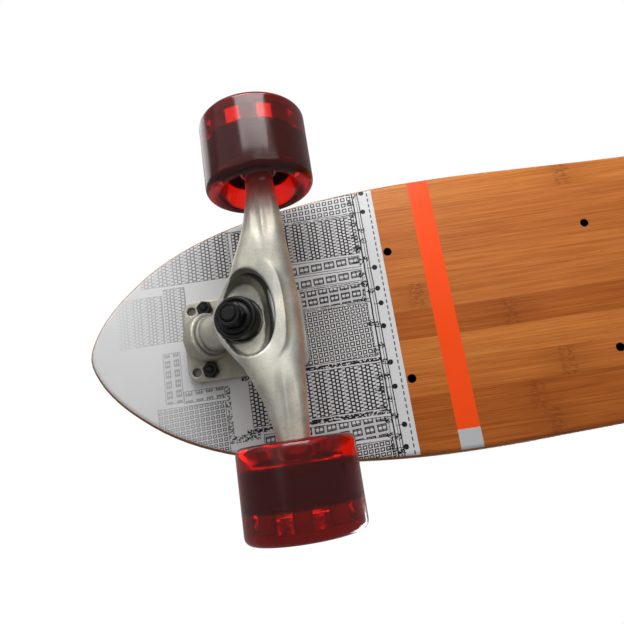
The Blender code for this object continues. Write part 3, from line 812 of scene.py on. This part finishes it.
def along(axis):
    """Takes +Z to an axis and the origin to its start."""
    origin, direction = axis
    turn = Vector((0, 0, 1)).rotation_difference(Vector(direction)).to_matrix().to_4x4()
    return Matrix.Translation(Vector(origin)) @ turn


def both_sides(half):
    """A closed outline from its +y half, which starts and ends on y = 0."""
    return half + [(x, -y) for x, y in reversed(half[1:-1])]


# Hanger beam: y, x from, x to, depth from, depth to of its section
BEAM = np.array(
    (
        (0.0, -13.0, 27.0, 39.0, 63.4),
        (10.0, -13.0, 27.0, 39.0, 63.6),
        (19.0, -12.6, 26.4, 40.0, 64.2),
        (28.0, -12.0, 24.0, 41.6, 65.2),
        (40.0, -11.0, 18.8, 44.4, 66.4),
        (55.0, -10.1, 13.2, 47.4, 66.9),
        (70.0, -8.9, 10.0, 49.4, 66.4),
        (ARM_HALF, -8.2, 8.2, 49.8, 66.2),
    )
)
# Round cuts about the kingpin: radius, and from where to where along it
BUSHING_SEATS = ((13.7, 42.7, 64.0), (16.8, 14.0, 36.3), (7.4, 28.0, 50.0))
WELL_FLOOR = 12.0
# Half outlines of the bushing well: outside of its lip, its mouth and its floor
LIP = [(38.0, 0), (37.3, 7.5), (34.6, 13.8), (30.6, 19.6), (25.6, 25.0), (19.4, 27.9)]
LIP += [(11, 28.6), (3, 25), (-2, 18), (-4, 0)]
MOUTH = [(36.4, 0), (35.6, 7), (32.8, 12.9), (28.9, 18.2), (24.2, 22.8), (18.5, 25.4)]
MOUTH += [(12.3, 24.6), (7.0, 20.6), (3.6, 14.6), (1.7, 7.5), (1.0, 0)]
FLOOR = [(35.2, 0), (34.3, 6.8), (31.4, 12.3), (27.4, 16.8), (22.8, 20.2), (18.2, 21.2)]
FLOOR += [(13.6, 19.7), (10.6, 15.6), (9.2, 10), (8.6, 5), (8.4, 0)]


def rim_z(x):
    """Height of the well's lip, which is nearest the road over the axle."""
    return RIM_Z + RIM_SLOPE * np.maximum(x, 0.0)


def hanger_field():
    """The cast hanger: a beam, the bushing well with its lip, the ring for the bushings and the pivot nose."""
    lip, mouth, floor = (Outline(rounded(both_sides(half))) for half in (LIP, MOUTH, FLOOR))

    def field(x, y, z):
        away = np.abs(y)
        x0, x1, d0, d1 = (curve(BEAM[:, 0], BEAM[:, i], away) for i in range(1, 5))
        half_x, half_z = (x1 - x0) / 2, (d1 - d0) / 2
        off_x = np.abs(x - (x0 + x1) / 2) / half_x
        off_z = np.abs(z - (AXLE_DEPTH - (d0 + d1) / 2)) / half_z
        body = ((off_x**2.5 + off_z**2.5) ** 0.4 - 1) * np.minimum(half_x, half_z)
        body = cut(body, ARM_HALF - away, 1.2)
        share = (x + 4.0) / 42.0
        block = np.maximum(lip.at(x, y), rim_z(x) - z)
        block = np.maximum(block, z - (6.0 + 12.0 * share))
        body = union(body, block, 4.5)
        pin_radial, pin_t = about_axis(x, y, z, *kingpin_axis())
        body = union(body, disc(pin_radial, pin_t, 16.4, 34.8, 47.3), 2.0)
        body = union(body, pivot_nose(x, y, z), 5.0)
        lean = np.clip((WELL_FLOOR - z) / np.maximum(WELL_FLOOR - rim_z(x), 3.0), 0, 1)
        well = floor.at(x, y) * (1 - lean) + mouth.at(x, y) * lean
        body = cut(body, np.maximum(well, z - WELL_FLOOR), 1.0)
        for seat in BUSHING_SEATS:
            body = cut(body, disc(pin_radial, pin_t, *seat), 0.8)
        return fluted(body, x, z, away)

    return field


def pivot_nose(x, y, z):
    """The pivot's ball end and its neck, on the steering axis."""
    radial, t = about_axis(x, y, z, *steering_axis())
    along_axis = (-8, -7, -4.2, 0, 6.9, 7.5, 8.6, 20, 27)
    radius = np.interp(t, along_axis, (0, 4.6, 7.0, 8, 8.2, 10.8, 11.4, 11.5, 11.5))
    return np.maximum(np.maximum(radial - radius, -8 - t), t - 27)


def fluted(body, x, z, away):
    """Shallow grooves along the arms' road side."""
    for flute_x, flute_r in ((-2.6, 3.4), (4.6, 2.6)):
        reach = np.clip((away - 36.0) / 12.0, 0, 1)
        flute = np.hypot(x - flute_x * (0.8 + 0.2 * reach), z + 8.7 + flute_r - 0.95 * reach) - flute_r
        body = cut(body, np.maximum(flute, away - 78.0), 1.6)
    return body


def met(a, b, radius):
    """Where two distances meet in a rounded corner."""
    a, b = a + radius, b + radius
    return np.hypot(np.maximum(a, 0), np.maximum(b, 0)) + np.minimum(np.maximum(a, b), 0) - radius


def baseplate_field(x, y, z):
    """The cast plate with the kingpin's pedestal, the pivot's housing and six bolt holes."""
    flat = met(np.abs(x - PLATE_MIDDLE) - PLATE_HALF, np.abs(y) - PLATE_HALF_WIDTH, 8.0)
    body = met(flat, np.abs(z - (AXLE_DEPTH - 3.3)) - 3.0, 1.3)
    pin_radial, pin_t = about_axis(x, y, z, *kingpin_axis())
    pedestal_r = np.interp(pin_t, (0, 6.5, 9.0, 22.0), (17.8, 17.0, 14.8, 13.8))
    body = union(body, np.maximum(pin_radial - pedestal_r, np.maximum(2.0 - pin_t, pin_t - 22.0)), 4.0)
    centre = AXLE_DEPTH - PIVOT[1]
    boss = np.sqrt((x - PIVOT[0]) ** 2 + y**2 + np.minimum(z - centre, 0) ** 2) - 15.5
    body = union(body, np.maximum(boss, z - (AXLE_DEPTH - 2.0)), 3.5)
    radial, t = about_axis(x, y, z, *steering_axis())
    mouth = np.maximum(4.2 - t, radial - 24.0)
    body = cut(body, np.maximum(mouth, z - (AXLE_DEPTH - 6.8)), 1.2)
    body = cut(body, disc(radial, t, 11.8, -7.0, 20.0), 0.8)
    for row in (*BOLT_ROWS, SPARE_ROW):
        body = cut(body, np.hypot(x - row, np.abs(y) - BOLT_HALF) - BOLT_HOLE_R, 0.9)
    body = cut(body, disc(pin_radial, pin_t, KINGPIN_R + 0.3, 8.0, 30.0), 0.5)
    return np.maximum(body, z - (AXLE_DEPTH - 0.3))


# ---------------------------------------------------------------- pieces


MATERIALS = {}


def placed(name, data):
    """A new object in the scene."""
    obj = bpy.data.objects.new(name, data)
    bpy.context.scene.collection.objects.link(obj)
    return obj


def piece(name, mesh, kind, body, matrix=None, replaced=(), blended=None):
    """Puts a mesh of one kind of material in the scene and hangs it on its body. A blended piece gets its own copy of
    the mesh with its place baked in, and hangs on no body.
    """
    if blended:
        mesh = mesh.copy()
    obj = placed(name, mesh)
    if not mesh.materials:
        mesh.materials.append(MATERIALS[kind])
    if matrix is not None:
        obj.matrix_world = matrix
    if blended:
        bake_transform(obj)
    else:
        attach(obj, body)
    if replaced:
        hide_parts(*replaced)


def deck_outline(inset, count=44):
    """The deck's outline, moved inwards, as (x, y) going round from the nose."""
    turn = np.linspace(0, 1, count) ** 1.7
    widths = curve(np.sqrt(STATIONS), HALF_WIDTHS, np.sqrt(turn * STATIONS[-1]))
    side = [(HALF_LENGTH - s, w) for s, w in zip(turn * STATIONS[-1], widths)]
    side += [(-x, y) for x, y in reversed(side[:-1])]
    points = both_sides(side)
    made = []
    for i, (x, y) in enumerate(points):
        before, after = points[i - 1], points[(i + 1) % len(points)]
        inwards = Vector((before[1] - after[1], after[0] - before[0])).normalized()
        made.append((x + inwards.x * inset, y + inwards.y * inset))
    return made


def layered(layers):
    """A solid from outlines at rising heights."""
    mesh = bmesh.new()
    rings = [[mesh.verts.new((x, y, z)) for x, y in outline] for outline, z in layers]
    return skinned(mesh, rings, capped=True)


def bolt_places():
    """World x and y of each bolt, in millimetres, with its name in the frame."""
    axle_x = (AXLE_LOW.x + AXLE_HIGH.x) / 2 / MM
    return [
        (f"{end}_{kind}_{side}", sign * (axle_x + row), y * BOLT_HALF)
        for end, sign in zip(ENDS, (1, -1))
        for kind, row in zip(("inner", "outer"), BOLT_ROWS)
        for side, y in (("left", 1), ("right", -1))
    ]


def drilled(name, solid, holes):
    """A solid with turned holes cut through it. Each hole is a profile, an x and a y."""
    cutter = bmesh.new()
    for profile, x, y in holes:
        cutter = joined(cutter, moved(turned(profile, 32), Matrix.Translation((x, y, 0))))
    body, tool = (placed(f"{name}_uncut", finish_mesh(name, mesh)) for mesh in (solid, cutter))
    modifier = body.modifiers.new("holes", "BOOLEAN")
    modifier.operation, modifier.solver, modifier.object = "DIFFERENCE", "EXACT", tool
    graph = bpy.context.evaluated_depsgraph_get()
    made = bpy.data.meshes.new_from_object(body.evaluated_get(graph))
    for obj in (body, tool):
        bpy.data.objects.remove(obj)
    return smoothed(made)


def build_deck():
    rail = []
    for k in range(9):
        angle = math.radians(11.25 * k)
        rail.append((RAIL_ROUND * (1 - math.sin(angle)), RAIL_ROUND * (1 - math.cos(angle))))
    layers = [(deck_outline(inset), BOTTOM + rise) for inset, rise in rail]
    layers += [(deck_outline(inset), TOP - rise) for inset, rise in reversed(rail)]
    under, over = BOTTOM - 2, TOP + 2
    bolt = [(0, under), (BOLT_HOLE_R, under), (BOLT_HOLE_R, TOP - HEAD_DEPTH), (HEAD_HOLE_R, TOP)]
    bolt += [(HEAD_HOLE_R, over), (0, over)]
    plain = [(0, under), (HOLE_R + 0.5, under), (HOLE_R, BOTTOM + 0.4), (HOLE_R, over), (0, over)]
    holes = [(bolt, x, y) for _, x, y in bolt_places()]
    holes += [(plain, HALF_LENGTH - s, side * HOLES_HALF) for s in HOLES_FROM_NOSE for side in (1, -1)]
    mesh = drilled("deck_board", layered(layers), holes)
    piece("deck_board", mesh, "bamboo", "board", replaced=["deck"])


def build_grip():
    low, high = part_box("grip_tape")
    low, high = low.z / MM - 0.25, high.z / MM
    layers = [(deck_outline(GRIP_INSET), low), (deck_outline(GRIP_INSET), high - 0.25)]
    layers.append((deck_outline(GRIP_INSET + 0.3), high))
    hole = [(0, low - 1), (HEAD_HOLE_R, low - 1), (HEAD_HOLE_R + 0.2, high + 1), (0, high + 1)]
    mesh = drilled("grip", layered(layers), [(hole, x, y) for _, x, y in bolt_places()])
    piece("grip_sheet", mesh, "grip", "board", replaced=["grip_tape"])


def bolt_mesh(low, high):
    """A countersunk bolt with a hexagon socket in its head, thread showing at its low end."""
    socket = [(0, high - 2.4), (1.9, high - 2.2), (1.9, high - 0.3), (2.2, high - 0.05)]
    head = [(4.5, high - 0.05), (4.8, high - 0.3), (4.8, high - 0.6), (BOLT_R, high - 3.2), (BOLT_R, low + 9)]

    def six(angle, radius, height):
        if radius < BOLT_R - 0.05 and height > high - 2.5:
            return radius / math.cos((angle % (math.pi / 3)) - math.pi / 6) * 0.92
        return radius

    shank = turned(socket + head + [(0, low + 9)], 48, reach=six)
    return joined(shank, moved(threaded(BOLT_R, -(low + 9.2), -low, 0.8), OVER))


def build_bolts():
    for name, x, y in bolt_places():
        low, high = (v.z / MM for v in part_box(f"{name}_bolt"))
        mesh = finish_mesh("deck_bolt", bolt_mesh(low, high))
        place = Matrix.Translation((x * MM, y * MM, 0))
        piece(f"{name}_screw", mesh, "black_steel", "board", place, [f"{name}_bolt"])
        mesh = finish_mesh("deck_nut", nut(9.5, BOLT_R + 0.15, 3.4, 4.1, 2.2))
        place = Matrix.Translation((x * MM, y * MM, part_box(f"{name}_nut")[1].z))
        turn = OVER @ Matrix.Rotation(math.radians(x * 7 % 60), 4, "Z")
        piece(f"{name}_lock_nut", mesh, "black_steel", "board", place @ turn, [f"{name}_nut"])


def truck_meshes():
    """Every mesh of one truck, in the truck's frame. Profiles are radius and place along their axis."""
    pin, steer = along(kingpin_axis()), along(steering_axis())
    board_bushing = [(5.3, 24.3), (11.3, 24.3), (12.5, 26.4), (12.6, 33.0), (11.5, 36.0), (5.3, 36.0)]
    road_bushing = [(5.3, 43.0), (12.5, 43.0), (12.6, 46.6), (11.0, 53.3), (5.3, 53.3)]
    cup = [(5.0, 53.5), (11.5, 53.5), (11.9, 52.7), (13.0, 52.7), (13.2, 53.4), (12.5, 55.3), (11.7, 55.6)]
    cup += [(10.6, 55.5), (9.9, 54.7), (8.6, 54.6), (7.9, 55.3), (5.0, 55.3)]
    liner = [(0, -8.6), (5.2, -7.6), (7.6, -4.6), (8.6, 0.0), (8.8, 6.6)]
    liner += [(12.3, 6.5), (12.7, 4.9), (11.3, 4.5), (11.2, 0.0), (9.3, -6.2), (5.8, -8.5), (0, -9.2)]
    head = [(0, 2.6), (8.0, 2.6), (8.2, 8.1), (KINGPIN_R, 8.1), (KINGPIN_R, 56.0), (0, 56.0)]
    bushings = [turned(spread(softened(b, 0.9, 4, True)), 72, True) for b in (board_bushing, road_bushing)]
    return {
        "hanger": net(hanger_field(), (-17, -88, -14), (62, 88, 56), 0.9),
        "baseplate": net(baseplate_field, (-18, -31, 28), (69, 31, 60), 0.75),
        "board_washer": moved(collar(5.0, 13.2, 22.3, 24.0, 0.5, 4), pin),
        "board_bushing": moved(bushings[0], pin),
        "road_bushing": moved(bushings[1], pin),
        "road_washer": moved(soft_ring(cup, 0.5, 3, 96), pin),
        "pivot_cup": moved(turned(softened(liner, 0.5, 3), 64), steer),
        "kingpin": moved(joined(turned(head, 48), threaded(KINGPIN_R, 55.5, 66.8, 1.25)), pin),
        "kingpin_nut": moved(nut(13.6, 4.85, 6.2, 6.5, 4.2), pin @ Matrix.Translation((0, 0, 55.6))),
        "axle": axle_mesh(),
    }


def spread(profile):
    """More points along a profile's long sides."""
    made = []
    for i, point in enumerate(profile):
        a, b = Vector(point), Vector(profile[(i + 1) % len(profile)])
        steps = max(1, int((b - a).length / 1.2))
        made += [tuple(a.lerp(b, k / steps)) for k in range(steps)]
    return made


def axle_mesh():
    """A plain axle with a thread at each end."""
    plain = AXLE_HALF - 12.5
    shank = turned([(0, -plain), (AXLE_R, -plain), (AXLE_R, plain), (0, plain)], 40)
    ends = [moved(threaded(AXLE_R, plain - 0.2, AXLE_HALF, 1.25), way) for way in (Matrix(), OVER)]
    return moved(joined(shank, *ends), Matrix.Rotation(math.pi / 2, 4, "X"))


def axis_point(place, t):
    """World point at a distance along the kingpin of a truck."""
    origin, direction = kingpin_axis()
    return place @ ((Vector(origin) + Vector(direction) * t) * MM)


def build_truck(end, meshes):
    low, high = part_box(f"{end}_axle")
    turn = Matrix.Rotation(0 if end == "front" else math.pi, 4, "Z")
    place = Matrix.Translation((low + high) / 2) @ turn
    hanger = f"{end}_hanger"
    for part in ("hanger", "baseplate", "board_washer", "road_washer", "pivot_cup", "kingpin", "kingpin_nut", "axle"):
        kind = part if part in MATERIALS else "black_steel"
        body = hanger if part in ("hanger", "axle") else "board"
        piece(f"{end}_{part}_fine", meshes[part], kind, body, place, [f"{end}_{part}"])
    for part, fixed, free in (("board_bushing", 25.0, 36.0), ("road_bushing", 52.6, 43.2)):
        ends = ("board", hanger, axis_point(place, fixed), axis_point(place, free))
        name = f"{end}_{part}"
        piece(f"{name}_fine", meshes[part], "bushing", None, place, [name], ends)


def tyre_mesh():
    """Urethane cast round the core, with a deep pocket and a rounded lip on each side."""
    lip_middle, lip_top = TYRE_R - LIP_R, 24.2
    lip = [(20.6, 8.0), (17.0, 12.6), (19.8, 17.6), (23.0, 22.6), (24.8, lip_top), (lip_middle, lip_top)]
    for k in range(1, 9):
        angle = math.radians(11.25 * k)
        lip.append((lip_middle + LIP_R * math.sin(angle), lip_top - LIP_R + LIP_R * math.cos(angle)))
    profile = softened(lip, 1.6, 5) + [(TYRE_R, z) for z in (12.0, 4.0)]
    profile += [(r, -z) for r, z in reversed(profile)]
    return turned(profile, 144, closed=True)


def core_mesh():
    """The wheel's hub: a wide barrel bonded into the urethane, spokes outwards, and two bearing seats."""
    barrel = [(11.1, 12.0), (13.2, 12.0), (16.4, 11.9), (20.0, 9.4), (22.4, 8.4)]
    inner = [(11.1, -12.0), (13.2, -12.0), (16.4, -12.2), (20.0, -12.2), (22.4, -11.2)]
    profile = softened(barrel, 0.5, 3) + list(reversed(softened(inner, 0.5, 3)))
    profile += [(11.1, -4.8), (8.8, -4.8), (8.8, 4.8), (11.1, 4.8)]
    spokes = []
    for k in range(SPOKES):
        spoke = bmesh.new()
        bmesh.ops.create_cube(spoke, size=1.0)
        spoke.transform(Matrix.Diagonal((4.4, 8.8, 13.4, 1.0)))
        bmesh.ops.bevel(spoke, geom=spoke.edges[:], offset=0.9, segments=3, affect="EDGES")
        turn = Matrix.Rotation(2 * math.pi / SPOKES * k, 4, "Z")
        spokes.append(moved(spoke, turn @ Matrix.Translation((21.8, 0, 13.4))))
    rim = soft_ring([(22.8, 18.9), (27.6, 18.9), (27.6, 22.7), (25.0, 22.7)], 0.6, 3, 96)
    return joined(turned(profile, 96, closed=True), rim, *spokes)


def wheel_meshes():
    """Every mesh of one wheel, about its axle with +Z outwards. A bearing's are about its own middle."""
    return {
        "tyre": tyre_mesh(),
        "core": core_mesh(),
        "rings": joined(collar(9.4, 10.95, -3.5, 3.5, 0.35), collar(4.1, 5.7, -3.5, 3.5, 0.3)),
        "shield": soft_ring([(5.8, -3.1), (9.3, -3.2), (9.3, 3.2), (5.8, 3.1)], 0.2, 2),
        "speed_ring": collar(4.05, 5.9, 0.0, 0.9, 0.15, 2, 48),
        "spacer": collar(4.05, 5.1, -4.7, 4.7, 0.2, 2, 48),
        "axle_nut": nut(12.6, 4.05, 4.2, 5.9, 2.0),
    }


def build_wheel(name, end, meshes):
    low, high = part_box(f"{name}_core")
    centre = (low + high) / 2
    side = 1 if centre.y > 0 else -1
    place = Matrix.Translation(centre) @ Matrix.Rotation(-side * math.pi / 2, 4, "X")
    wheel, hanger = f"{name}_wheel", f"{end}_hanger"
    parts = [("tyre_fine", "tyre", "tyre", wheel, 0.0, "tyre"), ("core_fine", "core", "core", wheel, 0.0, "core")]
    for bearing, off in (("outer_bearing", BEARING_OFF), ("inner_bearing", -BEARING_OFF)):
        parts.append((f"{bearing}_rings", "rings", "bearing", wheel, off, bearing))
        parts.append((f"{bearing}_shield", "shield", "shield", wheel, off, None))
    parts += [
        ("outer_speed_ring", "speed_ring", "axle", hanger, AXLE_NUT_OFF - 1.0, None),
        ("inner_speed_ring", "speed_ring", "axle", hanger, -AXLE_NUT_OFF + 0.1, None),
        ("spacer", "spacer", "axle", hanger, 0.0, None),
        ("axle_nut_fine", "axle_nut", "axle", hanger, AXLE_NUT_OFF, "axle_nut"),
    ]
    for part, mesh, kind, body, off, node in parts:
        spot = place @ Matrix.Translation((0, 0, off * MM))
        piece(f"{name}_{part}", meshes[mesh], kind, body, spot, [f"{name}_{node}"] if node else ())


# ---------------------------------------------------------------- studio


def build_floor():
    """A pale floor that is seen from above only, so that the board can also be looked at from below."""
    mesh = bpy.data.meshes.new("studio_floor")
    corners = [(x * FLOOR_REACH, y * FLOOR_REACH, 0) for x, y in ((-1, -1), (1, -1), (1, 1), (-1, 1))]
    mesh.from_pydata(corners, [], [(0, 1, 2, 3)])
    floor = placed("studio_floor", mesh)
    p = Pattern("pale_floor", Roughness=0.7, Base_Color=(0.82, 0.82, 0.82))
    x, y, _ = p.place()
    far = (x * x + y * y).root().ramp(500.0, 2600.0)
    white, clear = (p.node(kind).outputs[0] for kind in ("Emission", "BsdfTransparent"))
    under = p.node("NewGeometry").outputs["Backfacing"]
    p.put(p.output.inputs["Surface"], p.blend(under, p.blend(far, p.shader.outputs[0], white), clear))
    mesh.materials.append(p.material)
    floor.visible_shadow = floor.visible_diffuse = floor.visible_glossy = False


def add_light(name, place, aim, size, power):
    data = bpy.data.lights.new(name, "AREA")
    data.shape = "RECTANGLE"
    data.size, data.size_y = size
    data.energy = power
    obj = placed(name, data)
    obj.location = place
    obj.rotation_euler = (Vector(aim) - Vector(place)).to_track_quat("-Z", "Y").to_euler()
    obj.visible_camera = False


def build_world():
    """A white surround for the camera. Clear pieces see it white overhead and dim at the sides."""
    world = bpy.data.worlds.new("studio")
    world.use_nodes = True
    bpy.context.scene.world = world
    w = Nodes(world.node_tree)
    upwards = w.node("SeparateXYZ", {0: w.node("TexCoord").outputs["Generated"]}).outputs[2]
    overhead = w.mapped(upwards, 0.1, 0.85, CLEAR_SIDE, 1.0)
    rays = w.node("LightPath").outputs
    strength = w.mapped(rays["Is Transmission Ray"], 0.0, 1.0, SURROUND, overhead)
    lit, seen = (w.node("Background", {0: (1.0, 1.0, 1.0), 1: level}).outputs[0] for level in (strength, 1.0))
    w.put(w.tree.nodes["World Output"].inputs[0], w.blend(rays["Is Camera Ray"], lit, seen))


def build_light():
    """Soft light, strongest below the left rail behind the front truck."""
    build_world()
    add_light("near_below", (0.29, 0.47, -0.28), (0.27, 0.02, 0.08), (0.42, 0.36), 3.3)
    add_light("key_below", (1.0, 0.85, -0.95), (0.30, 0.0, 0.05), (2.0, 2.0), 5.0)
    add_light("sheen_below", (-0.15, 0.62, -1.0), (0.20, 0.05, 0.09), (0.9, 0.7), 2.0)
    add_light("key_above", (-0.9, -1.1, 1.7), (0.0, 0.0, 0.05), (1.2, 1.2), 34.0)
    add_light("rim_above", (1.4, 1.3, 1.2), (0.1, 0.0, 0.05), (1.4, 1.0), 6.0)


def build_camera():
    """The photo's view: from under the front truck, the nose to the left."""
    data = bpy.data.cameras.new("camera")
    data.sensor_width = 36.0
    data.lens = 31.48
    data.clip_start = 0.01
    camera = placed("camera", data)
    camera.location = (0.3107, -0.0803, -0.2693)
    camera.rotation_euler = Euler((0.2453, -3.1223, 0.1475))
    bpy.context.scene.camera = camera


def main():
    bpy.context.scene.view_settings.view_transform = "Standard"
    MATERIALS.update(make_materials())
    build_deck()
    build_grip()
    build_bolts()
    truck, wheel = (
        {name: finish_mesh(name, mesh) for name, mesh in meshes.items()}
        for meshes in (truck_meshes(), wheel_meshes())
    )
    for end in ENDS:
        build_truck(end, truck)
        for side in ("left", "right"):
            build_wheel(f"{end}_{side}", end, wheel)
    build_floor()
    build_light()
    build_camera()


main()
